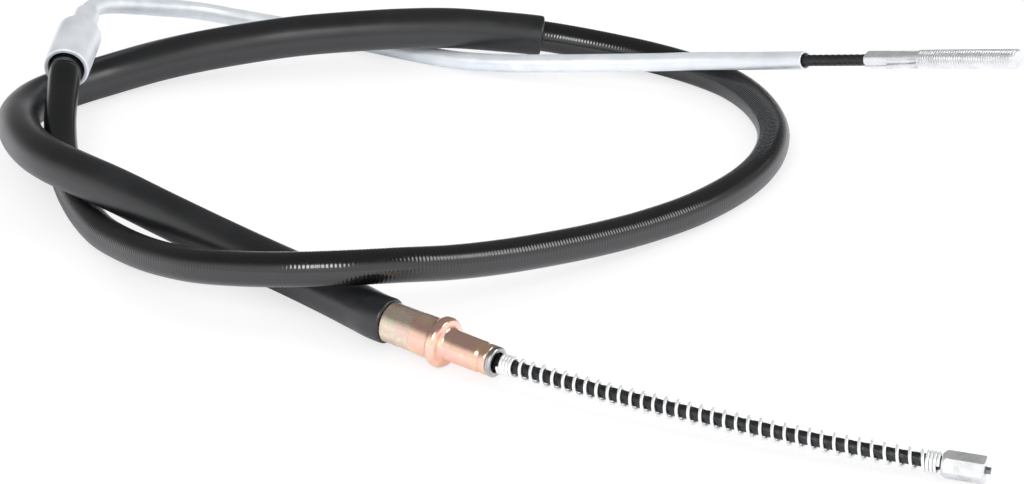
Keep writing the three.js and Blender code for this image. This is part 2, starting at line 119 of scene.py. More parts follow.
TUBE_POINTS = [
    (-0.1699, 0.1551, 0.0339), (-0.1667, 0.1613, 0.0333), (-0.1617, 0.1673, 0.0315),
    (-0.1553, 0.1735, 0.0289), (-0.1455, 0.1830, 0.0245), (-0.1294, 0.1961, 0.0180),
    (-0.1142, 0.2022, 0.0128), (-0.0862, 0.2042, 0.0066), (-0.0558, 0.1928, 0.0043),
    (-0.0325, 0.1798, 0.0043), (-0.0172, 0.1719, 0.0048), (-0.0003, 0.1656, 0.0061),
    (0.0164, 0.1610, 0.0077), (0.0414, 0.1544, 0.0105), (0.0661, 0.1463, 0.0140),
    (0.0824, 0.1405, 0.0168), (0.0990, 0.1324, 0.0200), (0.1073, 0.1241, 0.0233),
    (0.1153, 0.1161, 0.0265), (0.1233, 0.1081, 0.0297),
]
SAMPLES = 80


def unit(v):
    """v / |v|"""
    v = np.asarray(v, float)
    return v / np.linalg.norm(v)


def spline(points):
    """Centripetal spline: each knot step is the distance between two points to the power 0.5."""
    p = np.array(points, float)
    p = np.vstack([2 * p[0] - p[1], p, 2 * p[-1] - p[-2]])
    steps = np.sqrt(np.linalg.norm(np.diff(p, axis=0), axis=1))
    out = []
    t = np.linspace(0, 1, SAMPLES, endpoint=False)[:, None]
    for i in range(1, len(p) - 2):
        a, b, c = steps[i - 1], steps[i], steps[i + 1]
        start = ((p[i] - p[i - 1]) / a - (p[i + 1] - p[i - 1]) / (a + b) + (p[i + 1] - p[i]) / b) * b
        end = ((p[i + 1] - p[i]) / b - (p[i + 2] - p[i]) / (b + c) + (p[i + 2] - p[i + 1]) / c) * b
        third = 2 * p[i] - 2 * p[i + 1] + start + end
        second = -3 * p[i] + 3 * p[i + 1] - 2 * start - end
        out.append(p[i] + start * t + second * t**2 + third * t**3)
    return np.vstack([*out, p[-2][None]])


class Line:
    """A smooth line with places on it given by length."""

    def __init__(self, points):
        self.points = np.asarray(points, float)
        gaps = np.linalg.norm(np.diff(self.points, axis=0), axis=1)
        self.lengths = np.concatenate([[0.0], np.cumsum(gaps)])
        self.total = float(self.lengths[-1])
        self.headings = np.gradient(self.points, self.lengths, axis=0)

    def at(self, s):
        """Point at length s."""
        return np.stack([np.interp(s, self.lengths, self.points[:, k]) for k in range(3)], -1)

    def frames(self, s):
        """Point, two side directions and heading at each length, the sides carried with no twist."""
        centre = self.at(s)
        ahead = np.stack([np.interp(s, self.lengths, self.headings[:, k]) for k in range(3)], -1)
        ahead /= np.linalg.norm(ahead, axis=1, keepdims=True)
        side = np.empty_like(ahead)
        side[0] = unit(np.cross((0, 0, 1), ahead[0]))
        for i in range(1, len(ahead)):
            v = side[i - 1] - ahead[i] * (side[i - 1] @ ahead[i])
            side[i] = v / math.sqrt(v @ v)
        return centre, side, np.cross(ahead, side), ahead


route = Line(spline(FERRULE_POINTS + SLEEVED_POINTS + BARE_POINTS + CUP_POINTS + TUBE_POINTS))


def length_at(knot):
    """Length along the route at a point's number, which may have a fraction."""
    return float(np.interp(knot * SAMPLES, np.arange(len(route.lengths)), route.lengths))


SLEEVE_KNOT = 3.2 + len(SLEEVED_POINTS)
CUP_KNOT = 4 + len(SLEEVED_POINTS) + len(BARE_POINTS)
mouth_at = length_at(2)
sleeve_end = length_at(SLEEVE_KNOT)
cup_mouth = length_at(CUP_KNOT)
print("route", round(route.total, 4), "m; conduit from", round(mouth_at, 4), "to", round(cup_mouth, 4))

# %% [markdown]
# ## Mesh tools
# Every detailed surface is a grid: rows run along the piece, columns run round it. A grid either
# closes on itself, as a pipe's wall does, or ends in two poles.

# %%
TAU = 2 * math.pi


def make_mesh(name, vertices, quads, triangles=()):
    """One mesh object from arrays of points and of corner numbers."""
    mesh = bpy.data.meshes.new(name)
    quads = np.asarray(quads, np.int32).reshape(-1, 4)
    triangles = np.asarray(triangles, np.int32).reshape(-1, 3)
    mesh.vertices.add(len(vertices))
    mesh.vertices.foreach_set("co", np.asarray(vertices, np.float32).ravel())
    corners = np.concatenate([quads.ravel(), triangles.ravel()])
    mesh.loops.add(len(corners))
    mesh.loops.foreach_set("vertex_index", corners)
    starts = np.concatenate(
        [np.arange(len(quads)) * 4, len(quads) * 4 + np.arange(len(triangles)) * 3]
    )
    mesh.polygons.add(len(starts))
    mesh.polygons.foreach_set("loop_start", starts.astype(np.int32))
    mesh.update(calc_edges=True)
    mesh.validate()
    mesh.shade_smooth()
    obj = bpy.data.objects.new(name, mesh)
    bpy.context.scene.collection.objects.link(obj)
    return obj


def grid_object(name, grid, along=None, sharp=None, poles=False):
    """Grid of rows x columns x 3. Columns wrap round. Rows wrap too, or close on two poles."""
    rows, columns = grid.shape[:2]
    vertices = grid.reshape(-1, 3)
    last = rows - 1 if poles else rows
    i, j = np.meshgrid(np.arange(last), np.arange(columns), indexing="ij")
    nxt, side = (i + 1) % rows, (j + 1) % columns
    quads = np.stack([i * columns + j, i * columns + side, nxt * columns + side, nxt * columns + j], -1)
    triangles = []
    lengths = None if along is None else np.repeat(along, columns)
    if poles:
        first = len(vertices)
        vertices = np.vstack([vertices, grid[0].mean(0), grid[-1].mean(0)])
        ring = np.arange(columns)
        after = (ring + 1) % columns
        top = (rows - 1) * columns
        triangles = np.vstack(
            [
                np.stack([np.full(columns, first), after, ring], -1),
                np.stack([np.full(columns, first + 1), top + ring, top + after], -1),
            ]
        )
        if along is not None:
            lengths = np.concatenate([lengths, [along[0], along[-1]]])
    obj = make_mesh(name, vertices, quads, triangles)
    flip_if_inside_out(obj)
    if lengths is not None:
        mark = obj.data.attributes.new("along", "FLOAT", "POINT")
        mark.data.foreach_set("value", lengths.astype(np.float32))
    if sharp:
        obj.data.set_sharp_from_angle(angle=math.radians(sharp))
    return obj


def flip_if_inside_out(obj):
    """Signed volume = sum of a . (b x c) / 6 over the faces; a negative one turns every face."""
    mesh = obj.data
    mesh.calc_loop_triangles()
    tri = np.empty(len(mesh.loop_triangles) * 3, np.int32)
    mesh.loop_triangles.foreach_get("vertices", tri)
    co = np.empty(len(mesh.vertices) * 3, np.float32)
    mesh.vertices.foreach_get("co", co)
    a, b, c = co.reshape(-1, 3)[tri.reshape(-1, 3)].transpose(1, 0, 2).astype(float)
    if np.einsum("ij,ij->", a, np.cross(b, c)) < 0:
        mesh.flip_normals()


def swept(name, line, stations, radii, columns, shape=None, poles=False):
    """Rings at stations along a line. Point = centre + r * (cos a * side + sin a * up)."""
    order = np.argsort(stations, kind="stable")
    back = np.empty_like(order)
    back[order] = np.arange(len(order))
    parts = line.frames(np.asarray(stations, float)[order])
    centre, side, up, _ = (part[back] for part in parts)
    angle = np.arange(columns) / columns * TAU
    radius = np.asarray(radii, float)
    radius = radius[:, None] if radius.ndim == 1 else radius
    if shape is not None:
        radius = shape(np.asarray(stations)[:, None], angle[None, :], radius)
    radius = np.broadcast_to(radius, (len(centre), columns))[..., None]
    turn = angle[None, :, None]
    grid = centre[:, None] + radius * (np.cos(turn) * side[:, None] + np.sin(turn) * up[:, None])
    return grid_object(name, grid, np.asarray(stations, float), poles=poles)


def axis_frame(axis):
    """Two directions square to an axis: the first is level, the second is their cross product."""
    axis = unit(axis)
    across = unit(np.cross((0, 0, 1), axis))
    return across, np.cross(across, axis)


def turned(name, rows, origin, axis, columns, sharp=35, shape=None, poles=False):
    """Revolves (radius, height) rows about an axis; shape(height, angle, radius) may change them."""
    rows = np.array(rows, float)
    across, other = axis_frame(axis)
    angle = np.arange(columns) / columns * TAU
    radius = np.repeat(rows[:, :1], columns, axis=1)
    if shape is not None:
        radius = shape(rows[:, 1:], angle[None, :], radius)
    grid = (
        np.asarray(origin)
        + rows[:, 1][:, None, None] * unit(axis)
        + radius[..., None] * (np.sin(angle)[None, :, None] * across + np.cos(angle)[None, :, None] * other)
    )
    return grid_object(name, grid, rows[:, 1], sharp, poles)


def rounded(corners, size=0.0003, steps=4):
    """Cuts each corner of a closed profile by a small curve, B(t) = (1-t)^2 a + 2t(1-t) b + t^2 c."""
    corners = np.array(corners, float)
    out = []
    t = np.linspace(0, 1, steps + 1)[:, None]
    for i in range(len(corners)):
        before, here, after = corners[i - 1], corners[i], corners[(i + 1) % len(corners)]
        back, on = before - here, after - here
        cut = min(size, np.linalg.norm(back) * 0.45, np.linalg.norm(on) * 0.45)
        a, c = here + unit(back) * cut, here + unit(on) * cut
        out.append((1 - t) ** 2 * a + 2 * t * (1 - t) * here + t**2 * c)
    return np.vstack(out)


print("mesh tools ready")

# %% [markdown]
# ## Node tools
# Colours are written as hex values as seen on screen and turned into linear light once, here.

# %%


def linear(code):
    """sRGB to linear: c / 12.92 below 0.04045, otherwise ((c + 0.055) / 1.055) ** 2.4."""
    out = []
    for k in (0, 2, 4):
        c = int(code[k + 1 : k + 3], 16) / 255
        out.append(c / 12.92 if c <= 0.04045 else ((c + 0.055) / 1.055) ** 2.4)
    return (*out, 1.0)


class Nodes:
    """A material's node tree, with one short call that adds and joins a node."""

    def __init__(self, name):
        self.material = bpy.data.materials.new(name)
        self.material.use_nodes = True
        self.tree = self.material.node_tree
        self.tree.nodes.clear()
        self.shader = self.add("ShaderNodeBsdfPrincipled")
        output = self.add("ShaderNodeOutputMaterial")
        self.tree.links.new(self.shader.outputs[0], output.inputs["Surface"])
        self.place = self.add("ShaderNodeTexCoord").outputs["Object"]

    def add(self, kind, inputs=None, **settings):
        """Adds a node. An input is a plain value, or another node's output to join."""
        node = self.tree.nodes.new(kind)
        for key, value in settings.items():
            setattr(node, key, value)
        for key, value in (inputs or {}).items():
            self.join(node.inputs[key], value)
        return node

    def join(self, socket, value):
        """Joins an output to a socket, or sets the socket's own value."""
        if isinstance(value, bpy.types.NodeSocket):
            self.tree.links.new(value, socket)
        else:
            socket.default_value = value

    def surface(self, **inputs):
        """Sets the shader's inputs, with underscores for spaces."""
        for key, value in inputs.items():
            self.join(self.shader.inputs[key.replace("_", " ")], value)

    def noise(self, scale, detail=3.0, rough=0.5, vector=None):
        """Noise factor at that many lumps per metre."""
        inputs = {"Vector": vector or self.place, "Scale": scale, "Detail": detail, "Roughness": rough}
        return self.add("ShaderNodeTexNoise", inputs).outputs["Fac"]

    def ramp(self, factor, stops):
        """Colour ramp through (position, hex) stops."""
        node = self.add("ShaderNodeValToRGB", {"Fac": factor})
        band = node.color_ramp
        while len(band.elements) < len(stops):
            band.elements.new(0.5)
        for element, (position, code) in zip(band.elements, stops):
            element.position = position
            element.color = linear(code)
        return node.outputs["Color"]

    def span(self, factor, low, high, start=0.0, end=1.0):
        """Maps a factor from start..end to low..high."""
        inputs = {"Value": factor, "From Min": start, "From Max": end, "To Min": low, "To Max": high}
        return self.add("ShaderNodeMapRange", inputs).outputs["Result"]

    def mix(self, factor, a, b):
        """Colour mix: a where factor is 0, b where it is 1."""
        node = self.add("ShaderNodeMix", data_type="RGBA")
        self.join(node.inputs["Factor"], factor)
        self.join(node.inputs[6], a)
        self.join(node.inputs[7], b)
        return node.outputs[2]

    def math(self, operation, a, b=0.0):
        """One arithmetic step."""
        node = self.add("ShaderNodeMath", operation=operation)
        self.join(node.inputs[0], a)
        self.join(node.inputs[1], b)
        return node.outputs[0]

    def bump(self, height, distance, strength=1.0):
        """Normal from a height, in metres of depth."""
        inputs = {"Height": height, "Distance": distance, "Strength": strength}
        self.surface(Normal=self.add("ShaderNodeBump", inputs).outputs["Normal"])

    def attribute(self, name):
        """A number stored on the mesh's points."""
        return self.add("ShaderNodeAttribute", attribute_name=name).outputs["Fac"]


def dress(obj, finish, body, slot, *nodes):
    """Gives a piece its finish and body, and hides the CAD nodes that it stands for. The slot argument is
    not used.
    """
    obj.data.materials.clear()
    obj.data.materials.append(finish)
    if body:
        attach(obj, body)
    if nodes:
        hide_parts(*nodes)
    return obj


# %% [markdown]
# ## Finishes
# Rubber sleeve, glossy ribbed jacket, cable coat, three tones of zinc, and the yellow and pink
# passivation of the ferrule.

# %%


def sleeve_rubber():
    """Matte black rubber with a faint chalky bloom and fine grain."""
    n = Nodes("sleeve_rubber")
    bloom = n.noise(38.0, 4.0, 0.6)
    grain = n.noise(2600.0, 2.0)
    n.surface(
        Base_Color=n.ramp(bloom, [(0.3, "#111213"), (0.55, "#161719"), (0.8, "#1f2022")]),
        Roughness=n.span(bloom, 0.28, 0.38, 0.3, 0.7),
        Specular_IOR_Level=0.8,
    )
    n.bump(grain, 0.00003, 0.5)
    return n.material


def jacket_plastic():
    """Glossy black plastic with small scuffs."""
    n = Nodes("jacket_plastic")
    cloud = n.noise(60.0, 3.0)
    scuff = n.noise(900.0, 3.0, 0.7)
    n.surface(
        Base_Color=n.ramp(cloud, [(0.3, "#08090a"), (0.7, "#0e0f10")]),
        Roughness=n.span(scuff, 0.13, 0.24, 0.35, 0.7),
        Specular_IOR_Level=0.9,
    )
    n.bump(scuff, 0.00002, 0.4)
    return n.material


def coat_plastic():
    """Black plastic drawn tight over the strand."""
    n = Nodes("coat_plastic")
    cloud = n.noise(240.0, 3.0)
    n.surface(
        Base_Color=n.ramp(cloud, [(0.3, "#141517"), (0.7, "#1f2022")]),
        Roughness=n.span(cloud, 0.33, 0.45, 0.3, 0.7),
    )
    n.bump(n.noise(3000.0, 2.0), 0.00002, 0.4)
    return n.material


def zinc_plate(name, dark, mid, light, low, high, lumps=160.0, metal=1.0):
    """Zinc plate: blotches of three close tones. The share that isn't metal scatters its light."""
    n = Nodes(name)
    blotch = n.noise(lumps, 4.0, 0.55)
    fine = n.noise(4200.0, 2.0)
    n.surface(
        Base_Color=n.ramp(blotch, [(0.3, dark), (0.5, mid), (0.72, light)]),
        Metallic=metal,
        Roughness=n.span(blotch, low, high, 0.3, 0.7),
    )
    n.bump(fine, 0.00002, 0.35)
    return n.material


def strand_steel():
    """Bare drawn wire, slightly dull."""
    return zinc_plate("strand_steel", "#6b6d70", "#85878a", "#9b9da0", 0.35, 0.5, 500.0)


JAW_MARKS_END = 0.0131
FERRULE_END = 0.044


def ferrule_passivation():
    """Yellow, pink and copper bands of passivation, greyer where the crimping jaws pressed."""
    n = Nodes("ferrule_passivation")
    along = n.attribute("along")
    cloud = n.noise(190.0, 4.0, 0.55)
    drift = n.math("ADD", n.math("MULTIPLY", cloud, 1.3), n.span(along, -0.25, 0.22, 0.0, FERRULE_END))
    film = n.ramp(
        drift,
        [(0.3, "#f3e9c4"), (0.45, "#fae3c6"), (0.6, "#fbd2ba"), (0.75, "#f9c7bd"), (0.9, "#f6d2b4")],
    )
    press = n.math("LESS_THAN", along, JAW_MARKS_END)
    jaw = n.math("MULTIPLY", press, n.span(n.noise(420.0, 5.0, 0.7), 0.1, 0.75, 0.35, 0.62))
    n.surface(
        Base_Color=n.mix(jaw, film, linear("#d6cdc5")),
        Metallic=0.9,
        Roughness=n.span(jaw, 0.17, 0.38, 0.0, 0.7),
    )
    n.bump(n.noise(2400.0, 3.0), 0.00003, 0.4)
    return n.material


finishes = {
    "sleeve": sleeve_rubber(),
    "jacket": jacket_plastic(),
    "coat": coat_plastic(),
    "strand": strand_steel(),
    "armour": zinc_plate("armour_steel", "#5b5d60", "#74767a", "#8b8d90", 0.35, 0.5, 300.0),
    "passivated": ferrule_passivation(),
    "zinc": zinc_plate("stud_zinc", "#dcdde0", "#e6e7e8", "#f0f0f1", 0.2, 0.32, metal=0.7),
    "ring": zinc_plate("ring_zinc", "#9a9b9c", "#b6b7b8", "#cfd0d0", 0.22, 0.36),
    "spring_zinc": zinc_plate("spring_zinc", "#eff0f1", "#f6f7f7", "#fcfcfc", 0.22, 0.34, metal=0.5),
    "terminal_zinc": zinc_plate("terminal_zinc", "#cfd0d1", "#e0e1e2", "#efefef", 0.22, 0.36, metal=0.75),
    "tube_zinc": zinc_plate("tube_zinc", "#e0e6ec", "#eaeff4", "#f4f7fa", 0.32, 0.46, 90.0, 0.45),
}
print("finishes:", ", ".join(finishes))

# %% [markdown]
# ## Conduit and sleeve
# The conduit is one free cord from the ferrule to the cup. Its jacket shows the turns of the
# armour under it as fine ribs. The sleeve is drawn over its first stretch.

# %%
CONDUIT_R = 0.0065
JACKET_WALL = 0.0014
RIB_PITCH = 0.0014
RIB_DEPTH = 0.0001
RINGS_PER_RIB = 4
CONDUIT_INSERT = 0.016
CUP_INSERT = 0.019
SLEEVE_R = 0.0085
SLEEVE_WALL = 0.0016
GAP = 0.00035
INNER_STEP = 0.005


def make_conduit():
    """Radius = R - depth * (1 + cos(2 pi s / pitch)) / 2, so that the ribs' tops keep the size."""
    start, end = mouth_at - CONDUIT_INSERT, cup_mouth + CUP_INSERT
    count = int((end - start) / RIB_PITCH * RINGS_PER_RIB)
    s = np.linspace(start, end, count)
    outer = CONDUIT_R - RIB_DEPTH * (1 + np.cos(TAU * s / RIB_PITCH)) / 2
    lining = np.arange(end, start, -INNER_STEP)
    stations = np.concatenate([s, lining, [start]])
    radii = np.concatenate([outer, np.full(len(lining) + 1, CONDUIT_R - JACKET_WALL)])
    piece = swept("ribbed_conduit", route, stations, radii, 24)
    dress(piece, finishes["jacket"], "housing", "jacket", "conduit_jacket")
    return piece, start, end


def make_sleeve():
    """A plain pipe with softly rounded ends."""
    start, end = mouth_at + GAP, sleeve_end
    body = np.linspace(start + 0.0012, end - 0.0012, 520)
    lip = np.array([[0.0, 0.0009], [0.0002, 0.0004], [0.0006, 0.0001]])
    stations = [body]
    radii = [np.full(len(body), SLEEVE_R)]
    for offset, drop in lip[::-1]:
        stations.append([end - offset])
        radii.append([SLEEVE_R - drop])
    inner = SLEEVE_R - SLEEVE_WALL
    lining = np.arange(end - 0.0004, start + 0.0004, -INNER_STEP)
    stations.append(np.concatenate([[end], lining, [start + 0.0004, start]]))
    radii.append([inner + 0.0003, *np.full(len(lining) + 1, inner), inner + 0.0003])
    for offset, drop in lip:
        stations.append([start + offset])
        radii.append([SLEEVE_R - drop])
    piece = swept("sleeve", route, np.concatenate(stations), np.concatenate(radii), 48)
    return dress(piece, finishes["sleeve"], "housing", "sleeve", "outer_sleeve")


conduit, conduit_from, conduit_to = make_conduit()
sleeve = make_sleeve()
print("conduit", round(conduit_to - conduit_from, 3), "m,", len(conduit.data.polygons), "faces")

# %% [markdown]
# ## Ferrule and its ring
# The barrel is crimped on six sides over its first part. A bead stops it in its hole, and the
# spout carries a grooved rim with a plain steel ring pressed into its end.

# %%
FERRULE_AXIS = unit((0.796, -0.603, -0.048))
FERRULE_CENTRE = np.array([-0.0194778, -0.1135209, 0.0093325])
BARREL_R = 0.00765
BARREL_LENGTH = 0.0214
BEAD_R = 0.0093
BEAD_LENGTH = 0.0046
SPOUT_R = 0.00585
SPOUT_LENGTH = 0.0197
CRIMP_LENGTH = 0.6 * BARREL_LENGTH
FLATS = 6
FLAT_R = 0.00735
BORE_R = 0.0037
RING_R = 0.0056
RING_LENGTH = 0.0022
mouth = FERRULE_CENTRE - FERRULE_AXIS * (BARREL_LENGTH + BEAD_LENGTH / 2)
tip = BARREL_LENGTH + BEAD_LENGTH + SPOUT_LENGTH


def smooth_step(x, low, high):
    """3 t^2 - 2 t^3 with t = (x - low) / (high - low), held between 0 and 1."""
    t = np.clip((x - low) / (high - low), 0, 1)
    return t * t * (3 - 2 * t)


def crimped(height, angle, radius):
    """Six flats: radius is at most flat / cos(angle from the flat's middle), fading out."""
    pitch = TAU / FLATS
    off = (angle + math.pi) % pitch - pitch / 2
    flat = FLAT_R / np.cos(off)
    limited = np.minimum(radius, flat)
    fade = smooth_step(height, CRIMP_LENGTH - 0.0002, CRIMP_LENGTH + 0.0009)
    outside = radius > 0.0071
    return np.where(outside, limited * (1 - fade) + radius * fade, radius)


def make_ferrule():
    """Profile in (radius, height), from the mouth, over the bead, to the spout's end and back."""
    bead = BARREL_LENGTH
    bead_end = BARREL_LENGTH + BEAD_LENGTH
    pocket = CONDUIT_R + 0.00045
    rows = [
        (pocket, 0.0002),
        (BARREL_R - 0.0003, 0.0),
        (BARREL_R, 0.0003),
        *[(BARREL_R, h) for h in np.linspace(0.002, CRIMP_LENGTH - 0.0003, 5)],
        *[(BARREL_R, CRIMP_LENGTH + h) for h in np.linspace(-0.0002, 0.0009, 5)],
        (BARREL_R, CRIMP_LENGTH + 0.003),
        (BARREL_R, bead - 0.0012),
        (BARREL_R + 0.0003, bead - 0.0002),
        (BEAD_R - 0.0006, bead + 0.0004),
        (BEAD_R, bead + 0.0013),
        (BEAD_R, bead_end - 0.0016),
        (BEAD_R - 0.0007, bead_end - 0.0004),
        (SPOUT_R + 0.0011, bead_end + 0.0001),
        (SPOUT_R + 0.0001, bead_end + 0.0008),
        (SPOUT_R, bead_end + 0.003),
        (SPOUT_R - 0.0001, tip - 0.0046),
        (SPOUT_R - 0.00065, tip - 0.0037),
        (SPOUT_R - 0.00065, tip - 0.0032),
        (SPOUT_R - 0.0002, tip - 0.0024),
        (SPOUT_R - 0.0002, tip - 0.0006),
        (SPOUT_R - 0.0007, tip),
        (BORE_R + 0.0009, tip),
        (BORE_R + 0.0009, tip - 0.003),
        (BORE_R, tip - 0.003),
        (BORE_R, bead - 0.001),
        (pocket, bead - 0.002),
    ]
    piece = turned(
        "crimped_ferrule", rounded(rows, 0.0004, 3), mouth, FERRULE_AXIS, 96, 24, crimped
    )
    return dress(piece, finishes["passivated"], "housing", "passivated", "brake_ferrule")


def make_ring():
    """Plated ring with a thin collar that sits in the spout's counterbore."""
    rows = [
        (BORE_R, -0.0026),
        (BORE_R + 0.00055, -0.0026),
        (BORE_R + 0.00055, 0.0003),
        (RING_R - 0.0001, 0.0003),
        (RING_R, 0.0006),
        (RING_R, RING_LENGTH - 0.0005),
        (RING_R - 0.0005, RING_LENGTH),
        (BORE_R + 0.0003, RING_LENGTH),
        (BORE_R, RING_LENGTH - 0.0003),
    ]
    origin = mouth + FERRULE_AXIS * tip
    piece = turned("spout_ring", rounded(rows, 0.0002, 3), origin, FERRULE_AXIS, 64)
    return dress(piece, finishes["ring"], "housing", "zinc", "ferrule_end_ring")


make_ferrule()
make_ring()
print("ferrule length", round(tip * 1000, 1), "mm")

# %% [markdown]
# ## Brake end
# The exposed cable lies on a wide arc. The return spring runs round it, with closed turns at both
# ends, and the six-sided terminal is pressed on the cable's end.

# %%
ARC_START = np.array([-0.00027778, -0.12762085, 0.00803248])
ARC_END = np.array([0.16352222, -0.20392085, 0.00488248])
ARC_BULGE = 0.00675
WIRE_R = 0.0006
COIL_R = 0.0033
OPEN_TURNS = 35
CLOSED_TURNS = 4
CLOSED_PITCH = 0.00127
COAT_R = 0.00235
CORE_R = 0.00135
TERMINAL_R = 0.0049
TERMINAL_LENGTH = 0.0147
TERMINAL_BACK = 0.0007
TERMINAL_SPIN = 0.698
BRAKE_TAIL_INSERT = 0.002
STRANDS = 9
LAY_LENGTH = 0.030


def make_arc():
    """Radius = (L^2 / 4 + b^2) / 2b for a chord L and bulge b, as in the CAD model."""
    chord = ARC_END - ARC_START
    length = np.linalg.norm(chord)
    ahead = chord / length
    side = unit(np.cross(ahead, (0, 0, 1))) + 0.08 * np.array([0, 0, 1])
    side = unit(unit(side) - ahead * (unit(side) @ ahead))
    radius = (length**2 / 4 + ARC_BULGE**2) / (2 * ARC_BULGE)
    half = math.asin(length / 2 / radius)
    centre = (ARC_START + ARC_END) / 2 + side * (ARC_BULGE - radius)

    def at(s):
        a = np.asarray(s)[..., None] / radius - half
        return centre + side * radius * np.cos(a) + ahead * radius * np.sin(a)

    def heading(s):
        a = np.asarray(s)[..., None] / radius - half
        return ahead * np.cos(a) - side * np.sin(a)

    return at, heading, 2 * half * radius, np.cross(side, ahead)


arc_at, arc_heading, arc_length, arc_normal = make_arc()
terminal_end = arc_length - TERMINAL_BACK
terminal_seat = terminal_end - TERMINAL_LENGTH


def strand_relief(stations, angle, radius):
    """Shallow lobes where the strand shows through: radius - depth * |sin| of the lay angle."""
    phase = STRANDS * (angle - TAU * stations / LAY_LENGTH) / 2
    return radius - 0.00028 * (1 - np.abs(np.sin(phase)))


def cable_piece(name, line, start, end, radius, columns=30):
    """A coat with strand lobes, closed at both ends."""
    body = np.linspace(start + 0.0003, end - 0.0003, int((end - start) / 0.0006))
    stations = np.concatenate([[start], [start], body, [end], [end]])
    radii = np.concatenate([[radius * 0.6], [radius * 0.93], np.full(len(body), radius)])
    radii = np.concatenate([radii, [radius * 0.93], [radius * 0.6]])
    return swept(name, line, stations, radii, columns, shape=strand_relief, poles=True)


def make_spring():
    """Right-hand coil: centre of the wire = arc(s) + R (cos a * out - sin a * up)."""
    start, end = RING_LENGTH / 2 + WIRE_R, terminal_seat - WIRE_R - 0.0003
    turns = OPEN_TURNS + 2 * CLOSED_TURNS
    turn = np.linspace(0, turns, turns * 28 + 1)
    opened = np.clip(turn - CLOSED_TURNS, 0, OPEN_TURNS)
    free = end - start - 2 * CLOSED_TURNS * CLOSED_PITCH
    s = start + (turn - opened) * CLOSED_PITCH + opened / OPEN_TURNS * free
    out = np.cross(arc_heading(s), arc_normal)
    angle = (TAU * turn)[:, None]
    wire = arc_at(s) + COIL_R * (np.cos(angle) * out - np.sin(angle) * arc_normal)
    line = Line(wire)
    stations = np.concatenate([[0.0], np.linspace(0, line.total, turns * 26), [line.total]])
    radii = np.full(len(stations), WIRE_R)
    radii[0] = radii[-1] = WIRE_R * 0.55
    piece = swept("coil_spring", line, stations, radii, 10, poles=True)
    dress(piece, finishes["spring_zinc"], None, "spring_zinc", "return_spring")
    begin, finish_at = arc_at(start + 0.004), arc_at(end - 0.004)
    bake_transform(piece)
    return piece


def hexagon(size, start):
    """Six flats: radius = r cos(30 deg) / cos(angle from the flat's middle)."""

    def shape(height, angle, radius):
        pitch = TAU / 6
        off = (angle - start) % pitch - pitch / 2
        flat = size * math.cos(pitch / 2) / np.cos(off)
        return np.where(radius > 0.0031, np.minimum(radius, flat), radius)

    return shape


def make_terminal():
    """Six-sided sleeve with a chamfered inner end and the cable's tip in its bore."""
    mouth_bore = COAT_R + 0.00035
    bore = CORE_R + 0.00035
    rows = [
        (mouth_bore, 0.0),
        (TERMINAL_R - 0.0012, 0.0),
        (TERMINAL_R - 0.0003, 0.0011),
        (TERMINAL_R, 0.0022),
        (TERMINAL_R, 0.009),
        (TERMINAL_R, TERMINAL_LENGTH - 0.0003),
        (TERMINAL_R - 0.0004, TERMINAL_LENGTH),
        (bore + 0.0003, TERMINAL_LENGTH),
        (bore, TERMINAL_LENGTH - 0.0003),
        (bore, 0.003),
        (mouth_bore, 0.003),
    ]
    origin = arc_at(terminal_seat)
    axis = arc_at(terminal_end) - origin
    shape = hexagon(TERMINAL_R, TERMINAL_SPIN)
    piece = turned("hex_terminal", rounded(rows, 0.0002, 2), origin, axis, 96, 24, shape)
    return dress(piece, finishes["terminal_zinc"], "brake_end", "terminal_zinc", "brake_terminal")


arc_line = Line(arc_at(np.linspace(-0.03, arc_length + 0.01, 900)))
ARC_SHIFT = 0.03
brake_coat = cable_piece(
    "brake_cable",
    arc_line,
    ARC_SHIFT - BRAKE_TAIL_INSERT,
    ARC_SHIFT + terminal_seat + 0.0027,
    COAT_R,
)
dress(brake_coat, finishes["coat"], "brake_end", "coat", "brake_cable_coat")
make_spring()
make_terminal()
print("exposed cable", round(arc_length * 1000, 1), "mm")

# %% [markdown]
# ## Cup, guide tube and stud
# The stepped cup holds the conduit's end and the guide tube. The threaded stud hangs on the cable
# that leaves the tube.

# %%
CUP_AXIS = unit((4.6, 38.5, 7.4))
CUP_ORIGIN = np.array([-0.17577778, 0.10977915, 0.02538248])
CUP_R = 0.0093
CUP_WALL = 0.0019
CUP_LENGTH = 0.0275
CUP_NECK_R = 0.0052
CUP_NECK_LENGTH = 0.0145
CUP_TAPER = 0.0025
TUBE_R = 0.00375
TUBE_WALL = 0.0008
TUBE_INSERT = 0.013
STUD_AXIS = unit((0.68, -0.681, 0.272))
EXPOSED = 0.034
STUD_HEX_R = 0.00375
STUD_HEX_LENGTH = 0.0126
STUD_SHANK_R = 0.0036
STUD_SHANK_LENGTH = 0.0155
THREAD_R = 0.0039
THREAD_PITCH = 0.00125
THREAD_DEPTH = 0.00078
THREAD_LENGTH = 0.049
TAIL_INSERT = 0.028
COAT_IN_SOCKET = 0.0026


